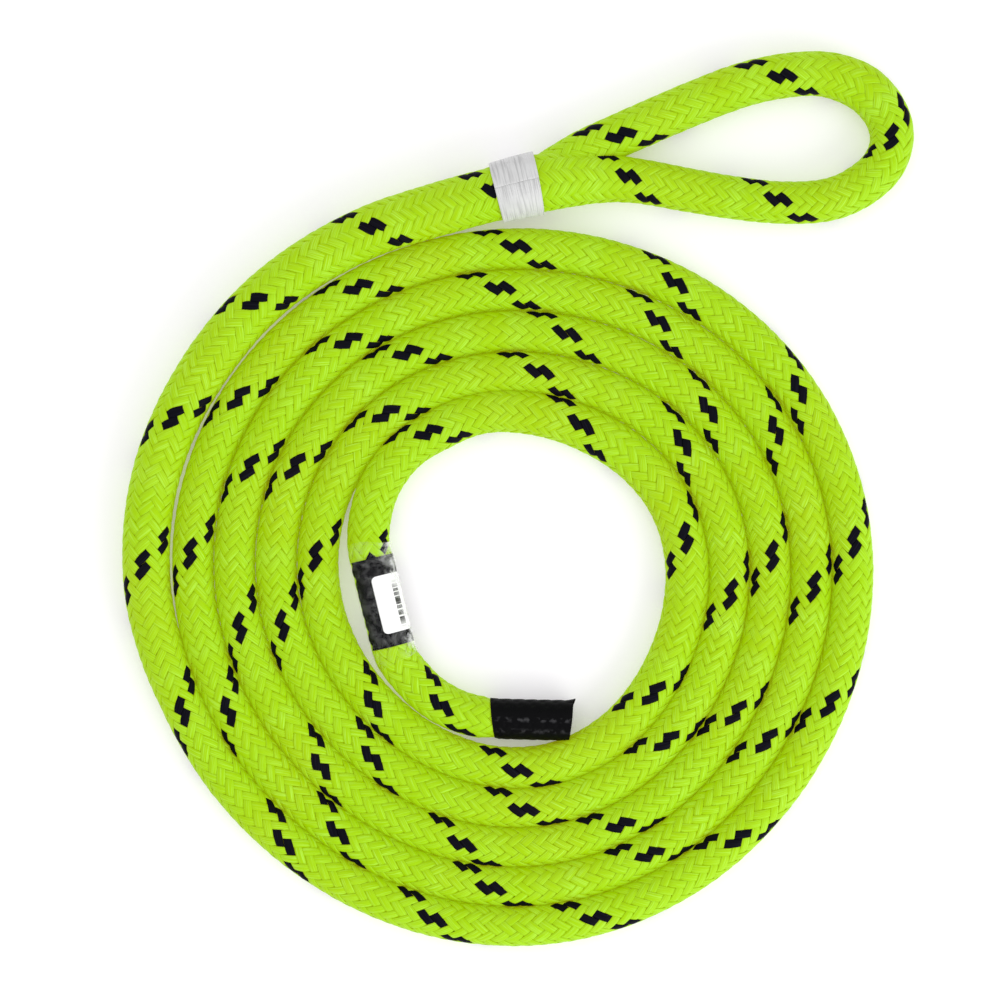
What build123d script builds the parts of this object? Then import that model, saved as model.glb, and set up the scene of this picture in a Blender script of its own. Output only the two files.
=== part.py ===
"""Double-braid rope sling: a spliced eye at one end, a capped and labelled tail at the other.

The sling lies as it is sold: one flat spiral on the floor, the eye outside, the tail inside.
Millimetres, +Z up, origin under the middle of the whole sling, on the floor.
"""

import os
from math import cos, pi, radians, tan

from build123d import *

# rope: a braided cover over a braided core
rope_radius = 7.95
cover_bore = 5.3
core_radius = 5.0
core_gap = 0.3  # between the core and the cover's bore

# coil: an even spiral with three slight lobes to the turn
coil_centre = Vector(-2.2, -30.4)
coil_pitch = 16.1
coil_start_angle = 200
coil_start_radius = 140.1
coil_step = 18  # degrees from one point of the route to the next
coil_steps = 95
lobe_first, lobe_growth = 0.5, 0.3  # the lobes' height, and what each turn adds
lobe_angle = 40  # where the first lobe stands out

# splice: the eye's tail is buried in the standing part and tapers away
eye_radius = 8.4
cover_wall = 2.6
core_inset = cover_wall + core_gap
crotch_x = 39.0
buried_tail_radius = 5.0
buried_tail_tip = 1.2
bury_stations = 15

# tape whipping round the throat
tape_thickness = 0.6
overlap_thickness = 0.3
tape_clearance = 0.1

# label stretch: where it begins and ends along the tail
label_start, label_end = 64.0, 99.0
label_thickness = 0.25
sticker_length = 21.0
sticker_thickness = 0.15
sticker_half_width = 6.2
sleeve_overhang = 5.5
sleeve_thickness = 0.3
skin_gap = 0.05

# capped end
cap_length = 33.0
cap_radius = 7.75
cap_wall = 0.45
cap_lip = 1.2  # how far the cap runs past the rope's end
fused_thickness = 1.5
shrunk_radius = 7.2

os.makedirs("parts", exist_ok=True)


def bend_radii(points):
    """The largest arc that each corner's two runs allow."""
    radii = []
    for before, corner, after in zip(points, points[1:], points[2:]):
        run_in, run_out = corner - before, after - corner
        half_turn = run_in.get_angle(run_out) / 2
        radii.append(0.45 * min(run_in.length, run_out.length) / tan(radians(half_turn)))
    return radii


def square_plane(path, length):
    """The plane square to a path at a length along it, its x direction level."""
    heading = path.tangent_at(length, position_mode=PositionMode.LENGTH)
    place = path.position_at(length, position_mode=PositionMode.LENGTH)
    return Plane(origin=place, x_dir=heading.cross(Vector(0, 0, 1)), z_dir=heading)


def spread(first, last, count):
    """Evenly spaced lengths from first to last."""
    step = (last - first) / (count - 1)
    return [first + step * i for i in range(count)]


def square_planes(path, lengths):
    """The planes square to a path at several lengths along it."""
    return [square_plane(path, length) for length in lengths]


def round_sections(planes, radii):
    """One circle on each plane, ready to loft: one radius for all, or a list of them."""
    if not isinstance(radii, list):
        radii = [radii] * len(planes)
    sections = []
    for plane, radius in zip(planes, radii):
        with BuildSketch(plane) as section:
            Circle(radius)
        sections.append(section.sketch.face())
    return sections


def slot_sections(planes, sizes, inset=0.0):
    """One level slot on each plane, inset all round, ready to loft."""
    sections = []
    for plane, (width, height) in zip(planes, sizes):
        with BuildSketch(plane) as section:
            SlotOverall(width - 2 * inset, height - 2 * inset)
        sections.append(section.sketch.face())
    return sections


# ---------------------------------------------------------------- coil



def coil_point(turned, outside=1.0):
    """A point of the spiral, so many degrees from its start, standing out by a factor."""
    angle = coil_start_angle + turned
    radius = coil_start_radius - coil_pitch * turned / 360
    lobe = lobe_first + lobe_growth * turned / 360
    radius += lobe * cos(radians(3 * (angle - lobe_angle)))
    spoke = Vector(radius * outside, 0).rotate(Axis.Z, angle)
    return coil_centre + spoke + Vector(0, 0, rope_radius)


# the corners stand outside the spiral, so that the runs between them touch it
corner_factor = 1 / cos(radians(coil_step / 2))
coil_points = [coil_point(0)]
for step in range(coil_steps):
    coil_points.append(coil_point(coil_step * (step + 0.5), corner_factor))
coil_points.append(coil_point(coil_step * coil_steps))

with BuildLine() as coil_line:
    FilletPolyline(*coil_points, radius=bend_radii(coil_points))

coil_path = coil_line.wire()
coil_start, start_heading = coil_points[0], (coil_points[1] - coil_points[0]).normalized()
coil_end, end_heading = coil_points[-1], (coil_points[-1] - coil_points[-2]).normalized()

with BuildPart() as coil_cover:
    with BuildSketch(square_plane(coil_path, 0)):
        Circle(rope_radius)
        Circle(cover_bore, mode=Mode.SUBTRACT)
    sweep(path=coil_path)

with BuildPart() as coil_core:
    with BuildSketch(square_plane(coil_path, 0)):
        Circle(core_radius)
    sweep(path=coil_path)

# ---------------------------------------------------------------- tail: from the coil to the cap

tail_points = [
    coil_end,
    coil_end + end_heading * 9,
    Vector(-44.5, 16.5, 8.1),
    Vector(-54.6, 2.8, 8.6),
    Vector(-59.2, -11.5, 9.0),
    Vector(-59.3, -25.5, 9.0),
    Vector(-55.8, -39.5, 9.0),
    Vector(-51.8, -53.5, 9.0),
    Vector(-44.8, -67.5, 8.9),
    Vector(-33.8, -78.8, 8.2),
    Vector(-17.5, -86.0, 8.0),
    Vector(1.5, -85.9, 8.0),
    Vector(19.9, -83.1, 8.0),
]
with BuildLine() as tail_line:
    FilletPolyline(*tail_points, radius=bend_radii(tail_points))

tail_path = tail_line.wire()
tail_length = tail_path.length
cap_mouth = tail_length + cap_lip - cap_length
fused_start = tail_length - fused_thickness
label_middle = (label_start + label_end) / 2
sticker_start = label_middle - sticker_length / 2
sticker_end = label_middle + sticker_length / 2

# every skin is lofted on the same planes as the cover below it, so that their walls run parallel
sleeve_planes = square_planes(
    tail_path,
    [
        label_start - sleeve_overhang,
        label_start,
        sticker_start,
        label_middle,
        sticker_end,
        label_end,
        label_end + sleeve_overhang,
    ],
)
label_planes = sleeve_planes[1:-1]
sticker_planes = sleeve_planes[2:-2]
free_planes = square_planes(tail_path, spread(0, label_start - sleeve_overhang, 9))[:-1]
free_planes += sleeve_planes
free_planes += square_planes(tail_path, spread(label_end + sleeve_overhang, cap_mouth, 9))[1:]
capped_planes = square_planes(tail_path, spread(cap_mouth, fused_start, 4))

with BuildPart() as tail_cover:
    loft(round_sections(free_planes, rope_radius), ruled=True)
    loft(round_sections(capped_planes, shrunk_radius), ruled=True)
    loft(round_sections(free_planes + capped_planes[1:], cover_bore), ruled=True, mode=Mode.SUBTRACT)

with BuildPart() as tail_core:
    loft(round_sections(free_planes + capped_planes[1:], core_radius), ruled=True)

with BuildPart() as fused_end:
    with BuildSketch(capped_planes[-1]):
        Circle(shrunk_radius)
    extrude(amount=fused_thickness)

with BuildPart() as end_cap:
    cap_planes = capped_planes + [square_plane(tail_path, tail_length).offset(cap_lip)]
    cap_planes[0] = cap_planes[0].offset(skin_gap)
    loft(round_sections(cap_planes, cap_radius), ruled=True)
    loft(round_sections(cap_planes, cap_radius - cap_wall), ruled=True, mode=Mode.SUBTRACT)

# ---------------------------------------------------------------- label under its clear sleeve

label_inner = rope_radius + skin_gap
label_outer = label_inner + label_thickness
sticker_inner = label_outer + skin_gap
sticker_outer = sticker_inner + sticker_thickness
sleeve_inner = sticker_outer + skin_gap

with BuildPart() as label_wrap:
    loft(round_sections(label_planes, label_outer), ruled=True)
    loft(round_sections(label_planes, label_inner), ruled=True, mode=Mode.SUBTRACT)

# the sticker faces up and in, towards the middle of the coil
outwards = sticker_planes[1].x_dir
sticker_faces = Vector(0, 0, 1) - outwards
with BuildPart() as label_sticker:
    loft(round_sections(sticker_planes, sticker_outer), ruled=True)
    loft(round_sections(sticker_planes, sticker_inner), ruled=True, mode=Mode.SUBTRACT)
    along = sticker_planes[1].z_dir
    with BuildSketch(Plane(sticker_planes[1].origin - along * sticker_length, sticker_faces, along)):
        with Locations((rope_radius, 0)):
            Rectangle(2 * rope_radius, 2 * sticker_half_width)
    extrude(amount=2 * sticker_length, mode=Mode.INTERSECT)

with BuildPart() as clear_sleeve:
    loft(round_sections(sleeve_planes, sleeve_inner + sleeve_thickness), ruled=True)
    loft(round_sections(sleeve_planes, sleeve_inner), ruled=True, mode=Mode.SUBTRACT)

# ---------------------------------------------------------------- bury: the thick stretch

bury_points = [
    coil_start,
    coil_start - start_heading * 29,
    Vector(-146.8, -15.9, 9.1),
    Vector(-140.6, 17.8, 9.4),
    Vector(-124.1, 50.8, 9.7),
    Vector(-98.7, 81.0, 10.0),
    Vector(-63.0, 104.1, 10.6),
    Vector(-29.5, 115.0, 11.4),
    Vector(-8.8, 119.8, 11.7),
]
with BuildLine() as bury_line:
    FilletPolyline(*bury_points, radius=bend_radii(bury_points))

# the rope rests on the floor, so its radius is its height, less the tape's lift near the throat
bury_path = bury_line.wire()
bury_planes = square_planes(bury_path, spread(0, bury_path.length, bury_stations))
bury_shares = [i / (bury_stations - 1) for i in range(bury_stations)]
bury_radii = [p.origin.Z - tape_thickness * t for p, t in zip(bury_planes, bury_shares)]
tail_radii = [buried_tail_tip + (buried_tail_radius - buried_tail_tip) * t for t in bury_shares]

with BuildPart() as bury_cover:
    loft(round_sections(bury_planes, bury_radii), ruled=True)
    bury_bores = [radius - cover_wall for radius in bury_radii]
    loft(round_sections(bury_planes, bury_bores), ruled=True, mode=Mode.SUBTRACT)

with BuildPart() as bury_core:
    loft(round_sections(bury_planes, [radius - core_inset for radius in bury_radii]), ruled=True)
    tail_bores = [radius + core_gap for radius in tail_radii]
    loft(round_sections(bury_planes, tail_bores), ruled=True, mode=Mode.SUBTRACT)

# ---------------------------------------------------------------- throat

throat_planes = [bury_planes[-1]]
for middle, turn in (
    (Vector(7.6, 123.2, 11.0), 11),
    (Vector(22.5, 127.6, 9.6), 6),
    (Vector(crotch_x, 133.6, 8.4), 0),
):
    across, along = Vector(0, -1).rotate(Axis.Z, turn), Vector(1, 0).rotate(Axis.Z, turn)
    throat_planes.append(Plane(middle, across, along))
throat_sizes = [(22.6, 22.2), (24.4, 20.8), (29.2, 18.6), (36.4, 16.8)]
throat_tail_radii = [buried_tail_radius, buried_tail_radius, 4.6, 4.2]

with BuildPart() as throat_cover:
    loft(slot_sections(throat_planes, throat_sizes), ruled=True)
    loft(slot_sections(throat_planes, throat_sizes, cover_wall), ruled=True, mode=Mode.SUBTRACT)

with BuildPart() as throat_core:
    loft(slot_sections(throat_planes, throat_sizes, core_inset), ruled=True)
    throat_bores = [radius + core_gap for radius in throat_tail_radii]
    loft(round_sections(throat_planes, throat_bores), ruled=True, mode=Mode.SUBTRACT)

# the tape goes round the throat, and its end lies over the flank beside the coil
tape_planes = throat_planes[:2]
tape_sizes = throat_sizes[:2]

with BuildPart() as whipping_tape:
    loft(slot_sections(tape_planes, tape_sizes, -tape_thickness), ruled=True)
    loft(slot_sections(tape_planes, tape_sizes, -tape_clearance), ruled=True, mode=Mode.SUBTRACT)

with BuildPart() as whipping_tape_end:
    loft(slot_sections(tape_planes, tape_sizes, -tape_thickness - skin_gap - overlap_thickness), ruled=True)
    loft(slot_sections(tape_planes, tape_sizes, -tape_thickness - skin_gap), ruled=True, mode=Mode.SUBTRACT)
    with BuildSketch(tape_planes[0].offset(-2)):
        with Locations((20, -6)):
            Rectangle(40, 24)
    extrude(amount=24, mode=Mode.INTERSECT)

with BuildPart() as buried_tail:
    loft(round_sections(bury_planes + throat_planes[1:], tail_radii + throat_tail_radii[1:]), ruled=True)

# ---------------------------------------------------------------- eye

eye_points = [
    Vector(30.0, 139.5, eye_radius),
    Vector(42.0, 143.8, eye_radius),
    Vector(56.5, 149.4, eye_radius),
    Vector(73.0, 156.4, eye_radius),
    Vector(89.5, 162.5, eye_radius),
    Vector(105.5, 165.8, eye_radius),
    Vector(122.0, 167.0, eye_radius),
    Vector(138.5, 160.2, eye_radius),
    Vector(148.2, 145.0, eye_radius),
    Vector(144.0, 128.9, eye_radius),
    Vector(126.2, 116.7, eye_radius),
    Vector(105.0, 115.0, eye_radius),
    Vector(83.0, 117.5, eye_radius),
    Vector(63.0, 121.4, eye_radius),
    Vector(47.5, 124.0, eye_radius),
    Vector(35.0, 124.8, eye_radius),
]
with BuildLine() as eye_line:
    FilletPolyline(*eye_points, radius=bend_radii(eye_points))

eye_path = eye_line.wire()
crotch_plane = Plane.YZ.offset(crotch_x)

with BuildPart() as eye_cover:
    with BuildSketch(square_plane(eye_path, 0)):
        Circle(eye_radius)
        Circle(cover_bore, mode=Mode.SUBTRACT)
    sweep(path=eye_path)
    split(bisect_by=crotch_plane, keep=Keep.TOP)

with BuildPart() as eye_core:
    with BuildSketch(square_plane(eye_path, 0)):
        Circle(core_radius)
    sweep(path=eye_path)
    split(bisect_by=crotch_plane, keep=Keep.TOP)

# ---------------------------------------------------------------- finished pieces

for name, points in (("tail", tail_points), ("bury", bury_points), ("eye", eye_points)):
    print(name, "bend radii", [round(radius, 1) for radius in bend_radii(points)])

core_section = pi * core_radius**2
for name, piece, path in (("coil", coil_core, coil_path), ("tail", tail_core, tail_path)):
    print(name, "length", path.length, "core", piece.part.volume / core_section, "long by volume")
print("eye length", eye_path.length, "bury length", bury_path.length)

coil_cover.part.label = "coil_cover"
export_step(coil_cover.part, "parts/coil_cover.step")
coil_core.part.label = "coil_core"
export_step(coil_core.part, "parts/coil_core.step")
tail_cover.part.label = "tail_cover"
export_step(tail_cover.part, "parts/tail_cover.step")
tail_core.part.label = "tail_core"
export_step(tail_core.part, "parts/tail_core.step")
fused_end.part.label = "fused_end"
export_step(fused_end.part, "parts/fused_end.step")
end_cap.part.label = "end_cap"
export_step(end_cap.part, "parts/end_cap.step")
label_wrap.part.label = "label_wrap"
export_step(label_wrap.part, "parts/label_wrap.step")
label_sticker.part.label = "label_sticker"
export_step(label_sticker.part, "parts/label_sticker.step")
clear_sleeve.part.label = "clear_sleeve"
export_step(clear_sleeve.part, "parts/clear_sleeve.step")
throat_cover.part.label = "throat_cover"
export_step(throat_cover.part, "parts/throat_cover.step")
throat_core.part.label = "throat_core"
export_step(throat_core.part, "parts/throat_core.step")
whipping_tape.part.label = "whipping_tape"
export_step(whipping_tape.part, "parts/whipping_tape.step")
whipping_tape_end.part.label = "whipping_tape_end"
export_step(whipping_tape_end.part, "parts/whipping_tape_end.step")
bury_cover.part.label = "bury_cover"
export_step(bury_cover.part, "parts/bury_cover.step")
bury_core.part.label = "bury_core"
export_step(bury_core.part, "parts/bury_core.step")
buried_tail.part.label = "buried_tail"
export_step(buried_tail.part, "parts/buried_tail.step")
eye_cover.part.label = "eye_cover"
export_step(eye_cover.part, "parts/eye_cover.step")
eye_core.part.label = "eye_core"
export_step(eye_core.part, "parts/eye_core.step")
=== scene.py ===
import math

import bpy
import numpy as np
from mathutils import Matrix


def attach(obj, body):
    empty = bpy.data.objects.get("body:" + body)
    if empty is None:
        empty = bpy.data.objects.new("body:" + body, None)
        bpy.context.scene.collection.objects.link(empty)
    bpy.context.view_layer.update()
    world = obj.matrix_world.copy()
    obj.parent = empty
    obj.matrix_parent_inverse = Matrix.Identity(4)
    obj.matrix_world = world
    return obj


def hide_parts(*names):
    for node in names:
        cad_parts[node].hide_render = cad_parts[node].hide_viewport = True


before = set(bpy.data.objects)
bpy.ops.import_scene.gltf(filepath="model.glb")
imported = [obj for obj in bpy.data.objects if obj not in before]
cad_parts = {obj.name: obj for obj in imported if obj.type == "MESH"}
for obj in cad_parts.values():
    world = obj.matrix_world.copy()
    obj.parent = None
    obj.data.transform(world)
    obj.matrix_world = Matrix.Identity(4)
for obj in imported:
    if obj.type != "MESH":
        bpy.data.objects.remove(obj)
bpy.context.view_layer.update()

# the rope's line: from inside the throat, round the eye, through the coil, to the capped tail

coilShape = {
    "centre": (-0.0022, -0.0304),
    "pitch": 0.01595,
    "startAngle": 200,
    "startRadius": 0.1398,
    "step": 18,
    "steps": 95,
    "height": 0.00795,
}

# how the coil strays from an even spiral: lobes a turn, size, its angle, growth a turn, its angle
coilLobes = [
    (1, 0.0004, 56, 0.0003, -86),
    (2, 0.0005, -7, 0.0003, -74),
    (3, 0.0012, 38, 0.0001, 9),
    (4, 0.0004, 8, 0.0001, 32),
]

# where the innermost turn is pushed outwards or inwards: angle from the coil's start, distance
coilPushed = [
    (1480, 0.0),
    (1530, 0.0001),
    (1600, 0.0),
    (1628, -0.0005),
    (1650, -0.0009),
    (1670, -0.0003),
    (1692, 0.0012),
    (1710, 0.0020),
]

eyePoints = [
    (-0.0060, 0.1210, 0.0105),
    (0.0073, 0.1254, 0.0105),
    (0.0194, 0.1323, 0.0092),
    (0.0305, 0.1381, 0.0084),
    (0.0423, 0.1431, 0.0084),
    (0.0565, 0.1494, 0.0084),
    (0.0730, 0.1564, 0.0084),
    (0.0895, 0.1625, 0.0084),
    (0.1055, 0.1658, 0.0084),
    (0.1217, 0.1665, 0.0084),
    (0.1380, 0.1598, 0.0084),
    (0.1476, 0.1450, 0.0084),
    (0.1440, 0.1289, 0.0084),
    (0.1262, 0.1167, 0.0084),
    (0.1050, 0.1150, 0.0084),
    (0.0830, 0.1175, 0.0084),
    (0.0630, 0.1211, 0.0085),
    (0.0475, 0.1241, 0.0088),
    (0.0350, 0.1251, 0.0096),
    (0.0210, 0.1248, 0.0115),
    (0.0070, 0.1228, 0.0125),
]

buryPoints = [
    (-0.0090, 0.1188, 0.0125),
    (-0.0297, 0.1134, 0.0114),
    (-0.0632, 0.1032, 0.0105),
    (-0.0987, 0.0810, 0.0099),
    (-0.1241, 0.0508, 0.0097),
    (-0.1406, 0.0178, 0.0094),
    (-0.1468, -0.0159, 0.0092),
    (-0.1442, -0.0512, 0.0087),
]

tailPoints = [
    (-0.0330, 0.0262, 0.0080),
    (-0.0458, 0.0182, 0.0082),
    (-0.0556, 0.0038, 0.0085),
    (-0.0590, -0.0115, 0.0092),
    (-0.0587, -0.0200, 0.0097),
    (-0.0575, -0.0250, 0.0098),
    (-0.0536, -0.0410, 0.0098),
    (-0.0497, -0.0568, 0.0098),
    (-0.0486, -0.0612, 0.0096),
    (-0.0449, -0.0672, 0.0088),
    (-0.0340, -0.0790, 0.0083),
    (-0.0178, -0.0863, 0.0084),
    (0.0015, -0.0870, 0.0088),
    (0.0195, -0.0873, 0.0092),
]


def coilPoints():
    # the radius falls evenly with the turn, plus a cosine for each lobe that grows turn by turn, plus pushes;
    # corners stand out by 1 / cos(half a step), so that the runs between them touch the spiral
    turned = coilShape["step"] * (np.arange(coilShape["steps"]) + 0.5)
    angle = np.radians(coilShape["startAngle"] + turned)
    radius = coilShape["startRadius"] - coilShape["pitch"] * turned / 360
    for lobes, size, place, growth, growthPlace in coilLobes:
        radius = radius + size * np.cos(lobes * (angle - math.radians(place)))
        grown = growth * turned / 360
        radius = radius + grown * np.cos(lobes * (angle - math.radians(growthPlace)))
    radius = radius + np.interp(turned, *zip(*coilPushed))
    radius = radius / math.cos(math.radians(coilShape["step"] / 2))
    x = coilShape["centre"][0] + radius * np.cos(angle)
    y = coilShape["centre"][1] + radius * np.sin(angle)
    return [(a, b, coilShape["height"]) for a, b in zip(x, y)]


smoothing = {"order": 3, "pointsPerSpan": 18}


def smoothLine(name, points):
    # the points read along a NURBS spline that has the given points as its control points
    curve = bpy.data.curves.new(name, "CURVE")
    curve.dimensions = "3D"
    curve.resolution_u = smoothing["pointsPerSpan"]
    spline = curve.splines.new("NURBS")
    spline.points.add(len(points) - 1)
    for knot, place in zip(spline.points, points):
        knot.co = (*place, 1)
    spline.order_u = smoothing["order"]
    spline.use_endpoint_u = True
    holder = bpy.data.objects.new(name, curve)
    mesh = bpy.data.meshes.new_from_object(holder)
    line = np.zeros(len(mesh.vertices) * 3)
    mesh.vertices.foreach_get("co", line)
    bpy.data.objects.remove(holder)
    return line.reshape(-1, 3)


def unit(vectors):
    # each vector divided by its length
    return vectors / np.linalg.norm(vectors, axis=-1, keepdims=True)


ropeLine = smoothLine("rope_line", eyePoints + buryPoints + coilPoints() + tailPoints)
ropeRun = np.concatenate([[0], np.cumsum(np.linalg.norm(np.diff(ropeLine, axis=0), axis=1))])
ropeLength = ropeRun[-1]
ropeHeading = unit(np.gradient(ropeLine, axis=0))
ropeSide = unit(np.cross(ropeHeading, (0, 0, 1)))
ropeUp = np.cross(ropeSide, ropeHeading)


def runNear(x, y, after=0.0):
    # the length along the rope nearest to a place in plan
    away = np.hypot(ropeLine[:, 0] - x, ropeLine[:, 1] - y)
    away[ropeRun < after] = 9
    return ropeRun[int(np.argmin(away))]


def at(table, lengths):
    # the three columns of a table of the rope's line, read at lengths along the rope
    return np.stack([np.interp(lengths, ropeRun, table[:, i]) for i in range(3)], -1)


# places along the rope, in plan, and the lengths after which they are looked for
marks = {
    "throat": (-0.0006, 0.1215),
    "throatAfter": 0.2,
    "tail": (-0.0318, 0.0246),
    "tailAfter": 2.5,
    "labelStart": (-0.0578, -0.0241),
    "labelEnd": (-0.0494, -0.0580),
    "capLength": 0.0316,
}
throatRun = runNear(*marks["throat"], after=marks["throatAfter"])
tailRun = runNear(*marks["tail"], after=marks["tailAfter"])
labelRun = runNear(*marks["labelStart"], after=tailRun), runNear(*marks["labelEnd"], after=tailRun)
capRun = ropeLength - marks["capLength"]
print("rope", round(ropeLength, 4), "m long, throat at", round(throatRun, 4))

# half the rope's width: thin where the eye's end is buried, thick where the standing part holds it
swell = {
    "splice": [
        (0.0, 0.0030),
        (0.010, 0.0058),
        (0.020, 0.0079),
        (0.032, 0.0085),
        (0.08, 0.0087),
        (0.13, 0.0088),
        (0.15, 0.0094),
        (0.18, 0.0085),
    ],
    "throat": [
        (-0.100, 0.0084),
        (-0.075, 0.0086),
        (-0.050, 0.0088),
        (-0.040, 0.0092),
        (-0.032, 0.0099),
        (-0.022, 0.0109),
        (-0.012, 0.0115),
        (0.000, 0.0112),
        (0.012, 0.0106),
        (0.030, 0.0106),
        (0.055, 0.0103),
        (0.079, 0.0101),
        (0.100, 0.0099),
        (0.140, 0.0098),
        (0.165, 0.0096),
        (0.230, 0.0094),
        (0.250, 0.0091),
        (0.268, 0.0089),
        (0.284, 0.0084),
        (0.312, 0.0083),
        (0.340, 0.0083),
        (0.370, 0.0082),
    ],
    "tail": [
        (-0.260, 0.0082),
        (-0.220, 0.0086),
        (-0.130, 0.0088),
        (-0.070, 0.0089),
        (-0.020, 0.0085),
        (0.150, 0.0083),
    ],
    "free": 0.0083,
    "underLabel": 0.0084,
    "underCap": 0.0073,
    "labelNear": 0.003,
    "labelFar": 0.006,
    "labelClear": 0.008,
    "capStep": 0.0025,
    "highToWide": 1.03,
}


def halfWidths():
    # straight lines between knots of length and half width, for each point of the rope's line
    free, near, far, step = swell["free"], swell["labelNear"], swell["labelFar"], swell["capStep"]
    knots = list(swell["splice"]) + [(throatRun + a, b) for a, b in swell["throat"]]
    lastTail = labelRun[0] - swell["labelClear"]
    knots += [(tailRun + a, b) for a, b in swell["tail"] if tailRun + a < lastTail]
    knots += [(labelRun[0] - far, free), (labelRun[0] - near, swell["underLabel"])]
    knots += [(labelRun[1] + near, swell["underLabel"]), (labelRun[1] + far, free)]
    knots += [(capRun - step, free), (capRun + step, swell["underCap"])]
    lengths, widths = zip(*knots)
    return np.interp(ropeRun, lengths, widths)


ropeWide = halfWidths()
# the rope stays off the floor, and leaves room for the tape at the throat
floorRoom = {"rope": 0.0001, "tape": 0.0016, "tapeNear": 0.009, "tapeFar": 0.016}
floorGap = np.interp(
    np.abs(ropeRun - throatRun),
    (floorRoom["tapeNear"], floorRoom["tapeFar"]),
    (floorRoom["tape"], floorRoom["rope"]),
)
ropeHigh = np.minimum(ropeWide * swell["highToWide"], ropeLine[:, 2] - floorGap)

# the braid: 12 strands each way, each over two and under two

braid = {
    "strandsEachWay": 12,
    "thickness": 0.00085,
    "fill": 1.0,
    "tracers": (0, 1),
    "startAngles": (75, 110),
    "ringsPerCrossing": 3,
    "snap": 2.3,
    "unevenWidth": 0.035,
    "unevenHeight": 0.00004,
    "spread": 0.03,
    "endGap": 0.0012,
    "sectionAcross": (-1.0, -0.80, 0.0, 0.80, 1.0, 0.62, 0.0, -0.62),
    "sectionRise": (0.20, 0.88, 1.0, 0.88, 0.20, -0.9, -1.0, -0.9),
    "reliefCrown": 0.6,
}

# how tightly the braid winds: length along the rope, turns made there
braidLay = [
    (-0.142, -3),
    (0.049, 0),
    (0.118, 1),
    (0.231, 3),
    (0.292, 4),
    (0.343, 5),
    (0.392, 6),
    (0.502, 8),
    (0.620, 10),
    (0.751, 12),
    (1.711, 27),
    (3.546, 56),
    (3.793, 60),
    (3.978, 63),
]
layStep, laySmooth, layMargin = 0.001, 41, 0.1
layRun = np.arange(-layMargin, ropeLength + layMargin, layStep)
layTurns = np.interp(layRun, *zip(*braidLay))
layTurns = 2 * math.pi * np.convolve(layTurns, np.ones(laySmooth) / laySmooth, "same")
ropePhase = np.interp(ropeRun, layRun, layTurns)
turnRate = np.interp(ropeRun, layRun, np.gradient(layTurns, layStep))
# strands of the two ways cross each time the rope's phase grows by this much
crossingPhase = math.pi / braid["strandsEachWay"]
crossingStart = math.radians(braid["startAngles"][0] - braid["startAngles"][1]) / 2


def floats(crossing):
    # 1 where a strand lies over two others, -1 where it lies under the next two
    wave = np.cos(math.pi / 2 * crossing)
    return np.tanh(braid["snap"] * wave) / math.tanh(braid["snap"])


def onRope(lengths, angles, rise):
    # a point of the rope's skin: angle 0 to the right of travel, 90 degrees on top
    wide = np.interp(lengths, ropeRun, ropeWide) + rise
    high = np.interp(lengths, ropeRun, ropeHigh) + rise
    out = at(ropeSide, lengths) * (wide * np.cos(angles))[..., None]
    return at(ropeLine, lengths) + out + at(ropeUp, lengths) * (high * np.sin(angles))[..., None]


# each way's turning sense, start angle, first float and how far the next strand's float is off
braidWays = ((-1, braid["startAngles"][0], 0.5, -2), (1, braid["startAngles"][1], -2.5, 2))


def braidRelief(lengths, angles):
    # how the braid stands out under a skin, from -1 to 1
    count, crownShare = braid["strandsEachWay"], braid["reliefCrown"]
    phase = np.interp(lengths, ropeRun, ropePhase)
    crossing = (phase - crossingStart) / crossingPhase
    relief = np.full(np.shape(phase), -1.0)
    for turn, start, firstFloat, perStrand in braidWays:
        place = (angles - math.radians(start) - turn * phase) * count / (2 * math.pi)
        strand = np.round(place)
        crown = 1 - (2 * (place - strand)) ** 2
        lift = floats(crossing - firstFloat - perStrand * strand)
        relief = np.maximum(relief, lift * (1 - crownShare + crownShare * crown))
    return relief


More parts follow.
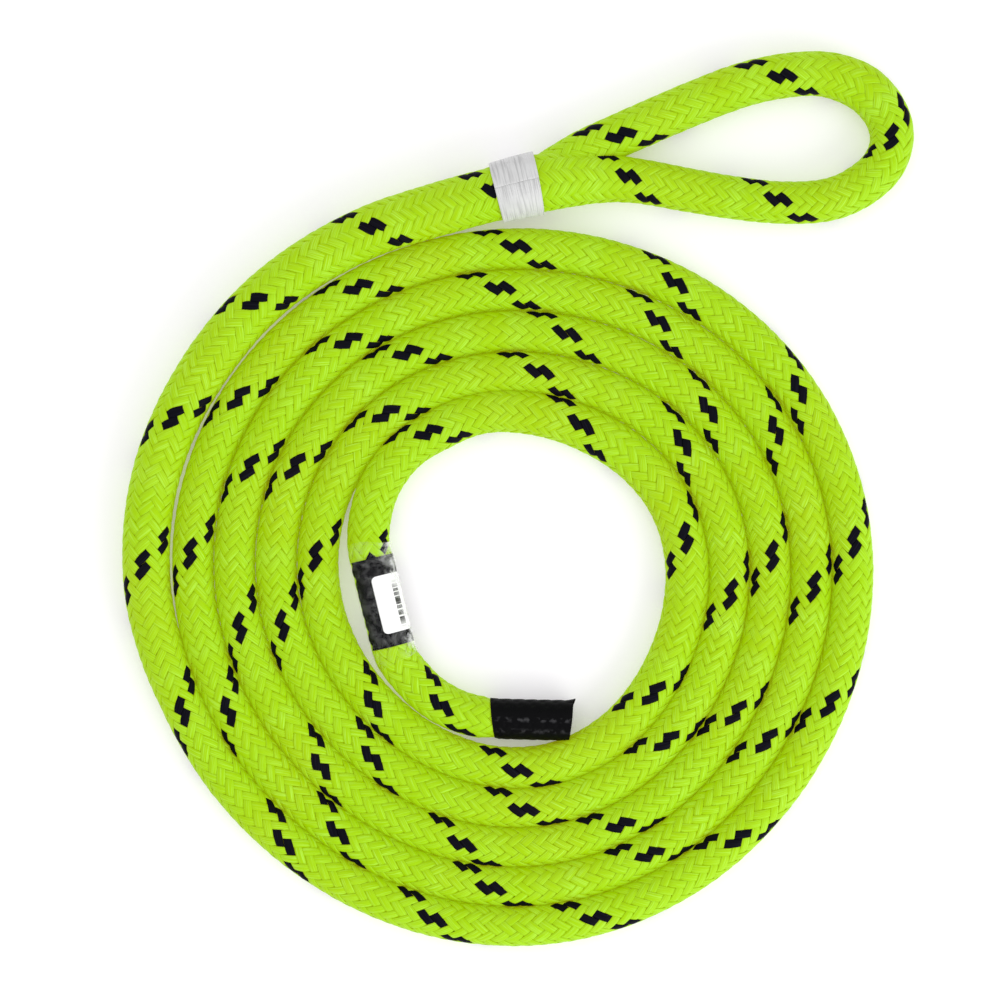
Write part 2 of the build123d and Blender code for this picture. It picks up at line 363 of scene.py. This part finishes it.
def sweptMesh(name, points, along, loopRings=False):
    # rings of points joined by quads; a closed section's ends are shut by quads from side to side
    rings, around = points.shape[:2]
    corner = np.arange(rings * around).reshape(rings, around)
    here = corner if loopRings else corner[:-1]
    ahead = np.roll(corner, -1, 0) if loopRings else corner[1:]
    faces = np.stack([here, np.roll(here, -1, 1), np.roll(ahead, -1, 1), ahead], -1).reshape(-1, 4)
    low = np.broadcast_to(np.arange(around) / around, here.shape)
    alongHere = np.broadcast_to(along[: len(here), None], here.shape)
    alongNext = np.broadcast_to(np.roll(along, -1)[: len(here), None], here.shape)
    high = low + 1 / around
    uvs = np.stack(
        [
            np.stack([alongHere, low], -1),
            np.stack([alongHere, high], -1),
            np.stack([alongNext, high], -1),
            np.stack([alongNext, low], -1),
        ],
        2,
    ).reshape(-1, 4, 2)
    if not loopRings:
        left = np.arange(around // 2 - 1)
        shut = np.stack([left, around - 1 - left, around - 2 - left, left + 1], -1)
        ends = np.concatenate([shut, shut[:, ::-1] + corner[-1, 0]])
        endUvs = np.zeros((len(ends), 4, 2))
        endUvs[:, :, 0] = np.repeat([along[0], along[-1]], len(shut))[:, None]
        faces, uvs = np.concatenate([faces, ends]), np.concatenate([uvs, endUvs])
    flat = points.reshape(-1, 3)
    a, b, c, d = (flat[faces[:, i]] for i in range(4))
    volume = (a * np.cross(b, c)).sum() + (a * np.cross(c, d)).sum()
    if volume < 0:
        faces, uvs = faces[:, ::-1], uvs[:, ::-1]
    mesh = bpy.data.meshes.new(name)
    mesh.from_pydata(flat.tolist(), [], faces.tolist())
    layer = mesh.uv_layers.new(name="along")
    layer.data.foreach_set("uv", np.ascontiguousarray(uvs, dtype=np.float32).ravel())
    mesh.shade_smooth()
    mesh.validate()
    piece = bpy.data.objects.new(name, mesh)
    bpy.context.collection.objects.link(piece)
    return piece


def settle(piece, material, slotName, *nodes):
    # a piece takes its finish, rides on the rope's one body, and stands for the nodes named
    piece.data.materials.append(material)
    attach(piece, "root")
    if nodes:
        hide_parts(*nodes)
    return piece


# materials: a socket that can be added and multiplied, and one call for every other node


class Signal:
    def __init__(self, board, socket):
        self.board = board
        self.socket = socket

    def joined(self, operation, first, second):
        # one Math node on two sockets or numbers
        return self.board.node("ShaderNodeMath", {"operation": operation}, {0: first, 1: second})

    def __add__(self, other):
        return self.joined("ADD", self, other)

    def __radd__(self, other):
        return self.joined("ADD", other, self)

    def __sub__(self, other):
        return self.joined("SUBTRACT", self, other)

    def __rsub__(self, other):
        return self.joined("SUBTRACT", other, self)

    def __mul__(self, other):
        return self.joined("MULTIPLY", self, other)

    def __rmul__(self, other):
        return self.joined("MULTIPLY", other, self)


class Board:
    def __init__(self, name, values):
        self.material = bpy.data.materials.new(name)
        self.material.use_nodes = True
        self.tree = self.material.node_tree
        self.shader = self.tree.nodes["Principled BSDF"]
        for socket, value in values.items():
            self.shader.inputs[socket].default_value = value

    def node(self, kind, settings, sockets, output=0):
        # any node: its settings first, then the values or links of its sockets
        made = self.tree.nodes.new(kind)
        for key, value in settings.items():
            if key == "stops":
                while len(made.color_ramp.elements) < len(value):
                    made.color_ramp.elements.new(0.5)
                for element, (place, colour) in zip(made.color_ramp.elements, value):
                    element.position = place
                    element.color = colour
            else:
                setattr(made, key, value)
        for key, value in sockets.items():
            if isinstance(value, Signal):
                self.tree.links.new(value.socket, made.inputs[key])
            else:
                made.inputs[key].default_value = value
        return Signal(self, made.outputs[output])

    def place(self, output="Object"):
        return self.node("ShaderNodeTexCoord", {}, {}, output)

    def uv(self):
        # the piece's own map: along it and across it
        split = self.node("ShaderNodeSeparateXYZ", {}, {0: self.place("UV")})
        return split, Signal(self, split.socket.node.outputs[1])

    def vector(self, x, y, z):
        return self.node("ShaderNodeCombineXYZ", {}, {0: x, 1: y, 2: z})

    def noise(self, vector, scale, detail=2.0, rough=0.5):
        sockets = {"Vector": vector, "Scale": scale, "Detail": detail, "Roughness": rough}
        return self.node("ShaderNodeTexNoise", {}, sockets)

    def ramp(self, signal, *stops):
        # grey levels at places from 0 to 1
        stops = [(place, (grey, grey, grey, 1)) for place, grey in stops]
        return self.node("ShaderNodeValToRGB", {"stops": stops}, {0: signal})

    def blend(self, factor, first, second):
        return self.node("ShaderNodeMix", {"data_type": "RGBA"}, {0: factor, 6: first, 7: second}, 2)

    def bump(self, height, strength, distance):
        sockets = {"Height": height, "Strength": strength, "Distance": distance}
        return self.node("ShaderNodeBump", {}, sockets)

    def use(self, **signals):
        names = {"colour": "Base Color", "rough": "Roughness", "normal": "Normal", "alpha": "Alpha"}
        for key, signal in signals.items():
            self.tree.links.new(signal.socket, self.shader.inputs[names[key]])
        return self.material


# each colour set: a painted shade for the strands' edges, the main colour, a painted highlight for the
# streaks, a warmer tone for patches, and a painted glow
strandLook = {
    "lime": {
        "rimShade": (0.16, 0.31, 0.001, 1),
        "main": (0.194, 0.478, 0.0, 1),
        "highlightColour": (0.34, 0.76, 0.11, 1),
        "warm": (0.23, 0.43, 0.0, 1),
        "paintedGlow": (1.0, 0.86, 0.0, 1),
        "paintedGlowStrength": 0.17,
        "rough": 0.50,
        "shine": 0.12,
    },
    "black": {
        "rimShade": (0.002, 0.002, 0.003, 1),
        "main": (0.003, 0.003, 0.006, 1),
        "highlightColour": (0.012, 0.012, 0.022, 1),
        "warm": (0.006, 0.004, 0.007, 1),
        "paintedGlow": (0.0, 0.0, 0.0, 1),
        "paintedGlowStrength": 0.0,
        "rough": 0.50,
        "shine": 0.03,
    },
    "filamentsAcross": 34.0,
    "filamentLength": 90.0,
    "twist": 55.0,
    # the strands' streaks of painted highlight
    "highlightStreaks": (0.50, 0.68),
    "highlightShare": 0.6,
    # painted shade: how far the strands' edges are darkened
    "rim": (0.72, 1.0),
    "rimShadeShare": 0.15,
    "patchScale": 28.0,
    "patches": (0.45, 0.75),
    "patchShare": 0.55,
    "roughSpread": 0.18,
    "threadBump": 0.30,
    "threadHeight": 0.00010,
}


def strandMaterial(name):
    # fine streaks of painted highlight along each strand, painted shade at its edges, and broad patches of a
    # warmer tone
    look = strandLook[name]
    # the emission is a painted glow that keeps the strand bright in its shaded flanks and grooves
    values = {"Specular IOR Level": look["shine"], "Emission Color": look["paintedGlow"]}
    board = Board("strand_" + name, {**values, "Emission Strength": look["paintedGlowStrength"]})
    along, across = board.uv()
    # filaments run along the strand with a slight twist
    twisted = across * strandLook["filamentsAcross"] + along * strandLook["twist"]
    thread = board.noise(board.vector(along * strandLook["filamentLength"], twisted, 0.0), 1.0, 3.0, 0.6)
    # the section's top runs from 0 to 0.5 across, its crown at a quarter
    # painted shade: darker from the top's crown towards the strand's edges, where it meets its neighbours
    edge = board.node("ShaderNodeMath", {"operation": "ABSOLUTE"}, {0: across * 4.0 - 1.0})
    rimFrom, rimTo = strandLook["rim"]
    rim = board.ramp(edge, (rimFrom, 0.0), (rimTo, 1.0))
    patchFrom, patchTo = strandLook["patches"]
    patch = board.noise(board.place(), strandLook["patchScale"], 2.0)
    patch = board.ramp(patch, (patchFrom, 0.0), (patchTo, strandLook["patchShare"]))
    # painted highlight: pale streaks where the filament noise is high
    highlightFrom, highlightTo = strandLook["highlightStreaks"]
    shine = board.ramp(thread, (highlightFrom, 0.0), (highlightTo, 1.0))
    colour = board.blend(patch, look["main"], look["warm"])
    colour = board.blend(shine * strandLook["highlightShare"], colour, look["highlightColour"])
    colour = board.blend(rim * strandLook["rimShadeShare"], colour, look["rimShade"])
    spread = strandLook["roughSpread"]
    rough = look["rough"] + thread * spread - spread / 2
    normal = board.bump(thread, strandLook["threadBump"], strandLook["threadHeight"])
    return board.use(colour=colour, rough=rough, normal=normal)


def strand(index, way, material, name):
    # a flat section, wound on the rope's skin and lifted over and pressed under the others
    count = braid["strandsEachWay"]
    turn, start, firstFloat, perStrand = braidWays[way]
    ringPhase = np.arange(ropePhase[0], ropePhase[-1], crossingPhase / braid["ringsPerCrossing"])
    ringRun = np.interp(ringPhase, ropePhase, ropeRun)
    crossing = (ringPhase - crossingStart) / crossingPhase
    lift = floats(crossing - firstFloat - perStrand * index)
    dice = np.random.default_rng(100 * way + index)
    spots = np.arange(crossing[0] - 1, crossing[-1] + 2)
    widthNoise = np.interp(crossing, spots, dice.normal(0, braid["unevenWidth"], len(spots)))
    heightNoise = np.interp(crossing, spots, dice.normal(0, braid["unevenHeight"], len(spots)))
    wide = np.interp(ringRun, ropeRun, ropeWide)
    rate = np.interp(ringRun, ropeRun, turnRate)
    slope = np.arctan(wide * rate)
    spacing = 2 * math.pi * wide / count * np.cos(slope)
    half = spacing / 2 * braid["fill"] * (1 + braid["spread"] * lift + widthNoise)
    angle = math.radians(start + 360 / count * index) + turn * ringPhase
    across, rise = np.array(braid["sectionAcross"]), np.array(braid["sectionRise"])
    lengths = ringRun[:, None] - turn * np.sin(slope)[:, None] * half[:, None] * across
    lengths = np.clip(lengths, 0, ropeLength - braid["endGap"])
    angles = angle[:, None] + (np.cos(slope) * half / wide)[:, None] * across
    thick = braid["thickness"]
    lifted = -thick + (lift * thick / 2 + heightNoise)[:, None] + rise * thick / 2
    piece = sweptMesh(name, onRope(lengths, angles, lifted), ringRun)
    return settle(piece, material, "cover")


limeStrand = strandMaterial("lime")
blackStrand = strandMaterial("black")
strands = []
for index in range(braid["strandsEachWay"]):
    tracer = index in braid["tracers"]
    name = ("tracer_strand_%02d" if tracer else "strand_right_%02d") % index
    strands.append(strand(index, 0, blackStrand if tracer else limeStrand, name))
    strands.append(strand(index, 1, limeStrand, "strand_left_%02d" % index))
print("braid", len(strands), "strands")

# the core under the braid, which is the declared rope

coreShape = {"ringGap": 0.004, "around": 20, "clearance": 0.00015, "endGap": 0.0015}


def coreMaterial():
    # a fine mottled weave, seen only where strands part
    board = Board("rope_core", {"Roughness": 0.7})
    weave = board.noise(board.place(), 900.0, 2.0)
    colour = board.blend(weave, (0.16, 0.30, 0.002, 1), (0.30, 0.52, 0.01, 1))
    return board.use(colour=colour, normal=board.bump(weave, 0.3, 0.0002))


def ropeCore():
    # the rope's skin drawn in by two strands' thickness
    lengths = np.arange(0, ropeLength - coreShape["endGap"], coreShape["ringGap"])
    angles = np.arange(coreShape["around"]) * 2 * math.pi / coreShape["around"]
    sink = -2 * braid["thickness"] - coreShape["clearance"]
    grid = np.meshgrid(lengths, angles, indexing="ij")
    piece = sweptMesh("rope_core", onRope(*grid, np.full(grid[0].shape, sink)), lengths)
    nodes = "coil_cover coil_core tail_cover tail_core bury_cover bury_core buried_tail"
    nodes += " throat_cover throat_core eye_cover eye_core"
    return settle(piece, coreMaterial(), "core", *nodes.split()), at(ropeLine, lengths)


core, corePath = ropeCore()
print("core", len(corePath), "rings")

# tape round the throat: one turn and a third, its end on top

tape = {
    "halfLength": 0.0084,
    "thickness": 0.00055,
    "lift": 0.00012,
    "endAngle": 84,
    "turns": 1.36,
    "ribs": 22,
    "ribDepth": 0.00013,
    "ringsPerRib": 4,
    "ribPatches": 3,
    "ribPatchTurn": 1.3,
    "around": 150,
    "slack": 1.1,
    "selvedgeDip": 0.00015,
    "selvedgeWidth": 0.0007,
    "edgeCurl": 0.00018,
}


def tapeMaterial():
    # threads that run round the rope, with painted shade between them, and a few grey clouds
    board = Board("throat_tape", {"Sheen Weight": 0.2})
    along, across = board.uv()
    weft = board.noise(board.vector(along * 1250.0, across * 12.0, 0.0), 1.0, 2.0)
    cloud = board.noise(board.place(), 160.0, 3.0)
    # painted shade in the lines between the threads
    threadShade = board.ramp(weft, (0.36, 1.0), (0.52, 0.0))
    colour = board.blend(threadShade * 0.60, (0.61, 0.61, 0.61, 1), (0.34, 0.34, 0.34, 1))
    colour = board.blend(board.ramp(cloud, (0.45, 0.0), (0.8, 0.4)), colour, (0.42, 0.42, 0.42, 1))
    return board.use(colour=colour, rough=0.62 + weft * 0.2, normal=board.bump(weft, 0.5, 0.0002))


def wrappedSheet(name, lengths, angles, lowRise, highRise):
    # a thin sheet laid on the rope: its outer face one way round, its inner face back
    angleLoop = np.concatenate([angles, angles[:, ::-1]], 1)
    riseLoop = np.concatenate([highRise, lowRise[:, ::-1]], 1)
    lengthLoop = np.broadcast_to(lengths[:, None], angleLoop.shape)
    return sweptMesh(name, onRope(lengthLoop, angleLoop, riseLoop), lengths)


def throatTape():
    # a spiral sheet: its height falls evenly from its outer end inwards, and sine ribs cross it in patches
    half = tape["halfLength"]
    rings = tape["ribs"] * tape["ringsPerRib"]
    lengths = np.linspace(throatRun - half, throatRun + half, rings + 1)
    share = np.linspace(0, 1, tape["around"])
    angles = math.radians(tape["endAngle"]) - share * tape["turns"] * 2 * math.pi
    ribPhase = (lengths - lengths[0]) / (2 * half) * tape["ribs"] * 2 * math.pi
    patches = np.cos(tape["ribPatches"] * angles + tape["ribPatchTurn"]) ** 2
    rib = tape["ribDepth"] * np.sin(ribPhase)[:, None] * patches
    fromEdge = (np.abs(lengths - throatRun) - half) / tape["selvedgeWidth"]
    selvedge = tape["selvedgeDip"] * np.exp(-(fromEdge**2))
    wound = (1 - share) * tape["turns"] * tape["thickness"] * tape["slack"]
    low = np.broadcast_to(tape["lift"] + wound, (len(lengths), len(share)))
    high = low + tape["thickness"] + rib - selvedge[:, None]
    grid = np.broadcast_to(angles, low.shape)
    curl = (np.abs(lengths - throatRun) / half)[:, None] ** 8 * tape["edgeCurl"]
    piece = wrappedSheet("throat_tape", lengths, grid, low, high + curl)
    return settle(piece, tapeMaterial(), "tape", "whipping_tape", "whipping_tape_end")


throatTape()
print("tape done")

# label film, its sticker and the clear sleeve over both

label = {
    "filmRise": 0.00012,
    "filmThickness": 0.00016,
    "filmFrom": 24,
    "filmTo": 236,
    "filmRings": 72,
    "filmAround": 60,
    "edgeWaves": ((5.0, 2 * math.pi / 0.0053), (3.0, 700)),
    "relief": 0.00009,
    "stickerLength": 0.0228,
    "stickerFrom": 79,
    "stickerTo": 176,
    "stickerCorner": 0.0019,
    "stickerThickness": 0.00012,
    "stickerGap": 0.00007,
    "stickerShift": 0.0011,
    "stickerAround": 40,
    "cornerSteps": 9,
    "straightSteps": 12,
    "sleeveOverhang": 0.0060,
    "sleeveRise": 0.00052,
    "sleeveThickness": 0.00022,
    "sleeveRings": 70,
    "sleeveAround": 72,
    "sleeveGrip": 0.45,
    "sleeveStep": 0.0010,
    "sleeveRelief": 0.00007,
    "raggedReach": 0.0012,
    "raggedDepth": 0.0004,
    "raggedFlare": 0.00012,
}


def filmMaterial():
    # black film with grey patches of painted highlight
    board = Board("label_film", {"Specular IOR Level": 0.03})
    mottle = board.noise(board.place(), 420.0, 4.0, 0.6)
    # grey patches of painted highlight where the noise is high
    highlightPatch = board.ramp(mottle, (0.50, 0.0), (0.68, 1.0))
    colour = board.blend(highlightPatch * 0.6, (0.003, 0.003, 0.004, 1), (0.07, 0.07, 0.07, 1))
    return board.use(colour=colour, rough=0.32 + mottle * 0.3, normal=board.bump(mottle, 0.3, 0.0002))


def labelFilm():
    # part of a turn round the rope, one edge two sines wavy, pressed into the braid's relief
    lengths = np.linspace(labelRun[0], labelRun[1], label["filmRings"])
    share = np.linspace(0, 1, label["filmAround"])
    (longSize, longRate), (shortSize, shortRate) = label["edgeWaves"]
    wavy = longSize * np.sin((lengths - lengths[0]) * longRate) + shortSize * np.sin(lengths * shortRate)
    first = np.radians(label["filmFrom"] + wavy)[:, None]
    last = math.radians(label["filmTo"])
    angles = first + (last - first) * share
    spread = np.broadcast_to(lengths[:, None], angles.shape)
    relief = label["relief"] * braidRelief(spread, angles)
    low = label["filmRise"] + relief
    piece = wrappedSheet("label_film", lengths, angles, low, low + label["filmThickness"])
    return settle(piece, filmMaterial(), "label", "label_wrap")


def stickerMaterial():
    # white paper with a plain row of bars near the edge that lies on the flank
    board = Board("label_sticker", {"Coat Weight": 0.5, "Coat Roughness": 0.15})
    along, across = board.uv()
    bars = board.noise(board.vector(along * 1150.0, 0.0, 0.0), 1.0, 0.0)
    ink = board.ramp(bars, (0.40, 0.0), (0.44, 1.0))
    row = board.ramp(across, (0.252, 0.0), (0.256, 1.0), (0.352, 1.0), (0.356, 0.0))
    fromMiddle = along - (labelRun[0] + labelRun[1]) / 2
    ends = board.ramp(fromMiddle + 0.5, (0.4922, 0.0), (0.4925, 1.0), (0.5085, 1.0), (0.5088, 0.0))
    cloud = board.noise(board.place(), 300.0, 2.0)
    paper = board.blend(cloud, (0.86, 0.86, 0.86, 1), (0.95, 0.95, 0.95, 1))
    colour = board.blend(ink * row * ends, paper, (0.02, 0.02, 0.02, 1))
    return board.use(colour=colour, rough=0.3 + cloud * 0.15)


def labelSticker():
    # a rectangle on the film, its sides drawn in along quarter circles at the corners
    half = label["stickerLength"] / 2
    corner = label["stickerCorner"]
    middle = (labelRun[0] + labelRun[1]) / 2 + label["stickerShift"]
    quarter = np.linspace(0, math.pi / 2, label["cornerSteps"])
    inset = corner * (1 - np.sin(quarter))
    fromEnd = corner - corner * np.cos(quarter)
    straight = np.linspace(corner, 2 * half - corner, label["straightSteps"])[1:-1]
    lengths = middle - half + np.concatenate([fromEnd, straight, 2 * half - fromEnd[::-1]])
    cut = np.concatenate([inset, np.zeros(len(straight)), inset[::-1]])
    share = np.linspace(-1, 1, label["stickerAround"])
    centre = math.radians((label["stickerFrom"] + label["stickerTo"]) / 2)
    reach = math.radians((label["stickerTo"] - label["stickerFrom"]) / 2)
    angles = centre + (reach - cut / swell["free"])[:, None] * share
    low = np.full(angles.shape, label["filmRise"] + label["filmThickness"] + label["stickerGap"])
    piece = wrappedSheet("label_sticker_paper", lengths, angles, low, low + label["stickerThickness"])
    return settle(piece, stickerMaterial(), "sticker", "label_sticker")


def sleeveMaterial():
    # clear, with a whitish haze
    values = {"IOR": 1.45, "Base Color": (0.92, 0.93, 0.92, 1), "Specular IOR Level": 0.2}
    board = Board("clear_sleeve_film", values)
    turned, across = board.uv()
    haze = board.noise(board.place(), 260.0, 4.0, 0.65)
    # the flank towards the lamp is whitish
    lit = board.ramp(turned * (1 / 360), (0.32, 0.0), (0.42, 1.0), (0.49, 0.6), (0.53, 0.0))
    alpha = board.ramp(haze, (0.48, 0.005), (0.68, 0.04), (0.80, 0.20))
    alpha = alpha + lit * board.ramp(haze, (0.40, 0.0), (0.68, 0.50))
    return board.use(alpha=alpha, rough=0.12 + haze * 0.25, normal=board.bump(haze, 0.25, 0.0003))


def ringShell(name, profileRun, profileRise, around, relief, endShift):
    # a closed profile of lengths and rises, carried round the rope, its ends moved by endShift
    angles = np.arange(around) * 2 * math.pi / around
    lengths = np.broadcast_to(profileRun, (around, len(profileRun))).copy()
    turned = np.broadcast_to(angles[:, None], lengths.shape)
    rise = np.broadcast_to(profileRise, lengths.shape) + relief * braidRelief(lengths, turned)
    moved, flare = endShift(lengths, turned)
    points = beyondEnd(lengths + moved, turned, rise + flare)
    return sweptMesh(name, points, np.degrees(angles), loopRings=True)


def beyondEnd(lengths, angles, rise):
    # past the rope's end the skin runs straight on
    past = np.maximum(lengths - ropeLength, 0)
    return onRope(lengths, angles, rise) + past[..., None] * ropeHeading[-1]


def clearSleeve():
    # a tube that steps up over the film at each end by a tanh, its two rims slightly ragged
    first, last = labelRun[0] - label["sleeveOverhang"], labelRun[1] + label["sleeveOverhang"]
    outer = np.linspace(first, last, label["sleeveRings"])
    bulge = 0.5 + 0.5 * np.tanh((outer - labelRun[0]) / label["sleeveStep"])
    bulge = bulge * (0.5 - 0.5 * np.tanh((outer - labelRun[1]) / label["sleeveStep"]))
    grip = label["sleeveRise"] * (label["sleeveGrip"] + (1 - label["sleeveGrip"]) * bulge)
    profileRun = np.concatenate([outer, outer[::-1]])
    profileRise = np.concatenate([grip + label["sleeveThickness"], grip[::-1]])

    around, relief = label["sleeveAround"], label["sleeveRelief"]

    def ragged(lengths, angles):
        nearFirst = np.exp(-(((lengths - first) / label["raggedReach"]) ** 2))
        nearEnd = nearFirst + np.exp(-(((lengths - last) / label["raggedReach"]) ** 2))
        return label["raggedDepth"] * np.sin(3 * angles + 1) * nearEnd, label["raggedFlare"] * nearEnd

    piece = ringShell("clear_sleeve_film", profileRun, profileRise, around, relief, ragged)
    return settle(piece, sleeveMaterial(), "sleeve", "clear_sleeve")


film, sticker, sleeve = labelFilm(), labelSticker(), clearSleeve()
print("label done")

# shrunk cap on the tail, with the fused rope end inside

cap = {
    "startGap": 0.0002,
    "overrun": 0.0013,
    "rise": 0.00012,
    "wall": 0.0004,
    "relief": 0.00018,
    "rings": 60,
    "around": 96,
    "rimLift": 0.00022,
    "rimReach": 0.0007,
    "mouthDrop": 0.00036,
    "mouthReach": 0.0018,
    "lip": 0.0009,
    "lipFlare": 0.0005,
    "lipReach": 0.003,
    "lipAngle": 172,
    "lipSpread": 22,
    "slant": 0.0015,
    "slantReach": 0.008,
}


def capMaterial():
    board = Board("end_cap_shrink", {"Specular IOR Level": 0.04})
    turned, across = board.uv()
    grain = board.noise(board.place(), 700.0, 3.0)
    scuff = board.noise(board.place(), 190.0, 4.0, 0.6)
    # two rows of painted glints, grey flecks where the strands under the cap stand out
    lowRow, topRow = ((0.13, 0.0), (0.16, 0.6), (0.19, 0.0)), ((0.23, 0.0), (0.255, 1.0), (0.28, 0.0))
    glintRows = board.ramp(turned * (1 / 360), *lowRow, *topRow)
    glintFleck = board.ramp(board.noise(board.place(), 480.0, 2.0), (0.48, 0.0), (0.66, 1.0))
    colour = board.blend(glintFleck * glintRows, (0.0025, 0.0025, 0.003, 1), (0.045, 0.045, 0.048, 1))
    return board.use(colour=colour, rough=0.36 + scuff * 0.25, normal=board.bump(grain, 0.2, 0.00015))


def endCap():
    # a tube past the rope's end: drawn in at its mouth, lifted at its cut rim, with one stretched corner
    start, end = capRun + cap["startGap"], ropeLength + cap["overrun"]
    outer = np.linspace(start, end, cap["rings"])
    rim = cap["rimLift"] * np.exp(-(((outer - end) / cap["rimReach"]) ** 2))
    mouth = cap["mouthDrop"] * np.exp(-(((outer - start) / cap["mouthReach"]) ** 2))
    high = cap["rise"] + cap["wall"] + rim - mouth
    profileRun = np.concatenate([outer, outer[::-1]])
    profileRise = np.concatenate([high, (high - cap["wall"])[::-1]])

    def cutEnd(lengths, angles):
        nearEnd = np.clip((lengths - end + cap["lipReach"]) / cap["lipReach"], 0, 1) ** 2
        corner = np.exp(-(((np.degrees(angles) - cap["lipAngle"]) / cap["lipSpread"]) ** 2))
        nearStart = np.clip((start + cap["slantReach"] - lengths) / cap["slantReach"], 0, 1)
        slanted = nearStart * cap["slant"] * (1 + np.cos(angles))
        moved = nearEnd * cap["lip"] * (corner - 0.25 * np.cos(2 * angles) - 0.8 * np.cos(angles))
        return moved + slanted, nearEnd * cap["lipFlare"] * corner

    piece = ringShell("end_cap_shrink", profileRun, profileRise, cap["around"], cap["relief"], cutEnd)
    return settle(piece, capMaterial(), "shrink_cap", "end_cap")


# the melted end: a low dome given as places past the rope's end and shares of its radius
fusedShape = {
    "dome": ((-0.0014, 1.0), (-0.0004, 1.0), (0.0, 0.93), (0.0002, 0.7), (0.00035, 0.35), (0.0004, 0.03)),
    "around": 40,
    "gap": 0.0001,
    "lumps": 5,
    "lumpHeight": 0.00025,
}


def fusedMaterial():
    # dark melted green, lumpy and partly shiny
    board = Board("fused_end", {})
    melt = board.noise(board.place(), 500.0, 4.0)
    colour = board.blend(melt, (0.05, 0.07, 0.004, 1), (0.20, 0.26, 0.03, 1))
    return board.use(colour=colour, rough=0.2 + melt * 0.3, normal=board.bump(melt, 0.6, 0.0006))


def fusedEnd():
    # the dome's profile turned about the rope, with a sine of lumps that grows towards its middle
    dome = np.array(fusedShape["dome"])
    angles = np.arange(fusedShape["around"]) * 2 * math.pi / fusedShape["around"]
    lengths = np.broadcast_to(ropeLength + dome[:, :1], (len(dome), len(angles)))
    radius = swell["underCap"] - fusedShape["gap"]
    lumps = fusedShape["lumpHeight"] * np.sin(fusedShape["lumps"] * angles) * (1 - dome[:, 1:])
    rise = dome[:, 1:] * radius - swell["underCap"] + lumps
    points = beyondEnd(lengths, np.broadcast_to(angles, rise.shape), rise)
    piece = sweptMesh("fused_rope_end", points, lengths[:, 0])
    return settle(piece, fusedMaterial(), "fused", "fused_end")


capPiece, fused = endCap(), fusedEnd()
print("cap done")

# floor, lights and the camera straight above

studio = {
    "floorHalf": 3.0,
    "floorColour": (0.79, 0.77, 0.80, 1),
    "floorGlow": 0.24,
    "worldStrength": 0.88,
    "cameraHeight": 1.6,
    "sensor": 36.0,
    "farthest": 20.0,
    "frameWidth": 0.392,
    "frameCentre": (-0.00725, -0.00098),
}

lamps = {
    "key": {"place": (1.1, -1.0, 0.75), "size": 1.3, "power": 17.0},
    "fill": {"place": (-0.5, 0.7, 1.9), "size": 1.6, "power": 7.0},
}


def lamp(name, place, size, power):
    # a square area light turned so that its face looks at the origin
    light = bpy.data.lights.new(name, "AREA")
    light.energy = power
    light.size = size
    holder = bpy.data.objects.new(name, light)
    bpy.context.collection.objects.link(holder)
    holder.location = place
    tilt = math.atan2(math.hypot(place[0], place[1]), place[2])
    holder.rotation_euler = (tilt, 0, math.atan2(place[0], -place[1]))


def stageSet():
    # a flat floor, a plain white world, two lamps and a camera that looks straight down
    half = studio["floorHalf"]
    corners = [(-half, -half, 0), (half, -half, 0), (half, half, 0), (-half, half, 0)]
    mesh = bpy.data.meshes.new("floor")
    mesh.from_pydata(corners, [], [(0, 1, 2, 3)])
    floor = bpy.data.objects.new("floor", mesh)
    bpy.context.collection.objects.link(floor)
    values = {"Base Color": studio["floorColour"], "Roughness": 0.9, "Specular IOR Level": 0.1}
    values.update({"Emission Color": (1, 1, 1, 1), "Emission Strength": studio["floorGlow"]})
    floor.data.materials.append(Board("floor", values).material)
    world = bpy.data.worlds.new("studio")
    world.use_nodes = True
    world.node_tree.nodes["Background"].inputs[0].default_value = (1, 1, 1, 1)
    world.node_tree.nodes["Background"].inputs[1].default_value = studio["worldStrength"]
    bpy.context.scene.world = world
    for name, values in lamps.items():
        lamp(name, **values)
    lens = bpy.data.cameras.new("camera")
    lens.sensor_width = studio["sensor"]
    lens.lens = lens.sensor_width * studio["cameraHeight"] / studio["frameWidth"]
    lens.clip_end = studio["farthest"]
    camera = bpy.data.objects.new("camera", lens)
    bpy.context.collection.objects.link(camera)
    camera.location = (*studio["frameCentre"], studio["cameraHeight"] + coilShape["height"])
    bpy.context.scene.camera = camera
    bpy.context.scene.view_settings.view_transform = "Standard"


stageSet()
print("stage done")
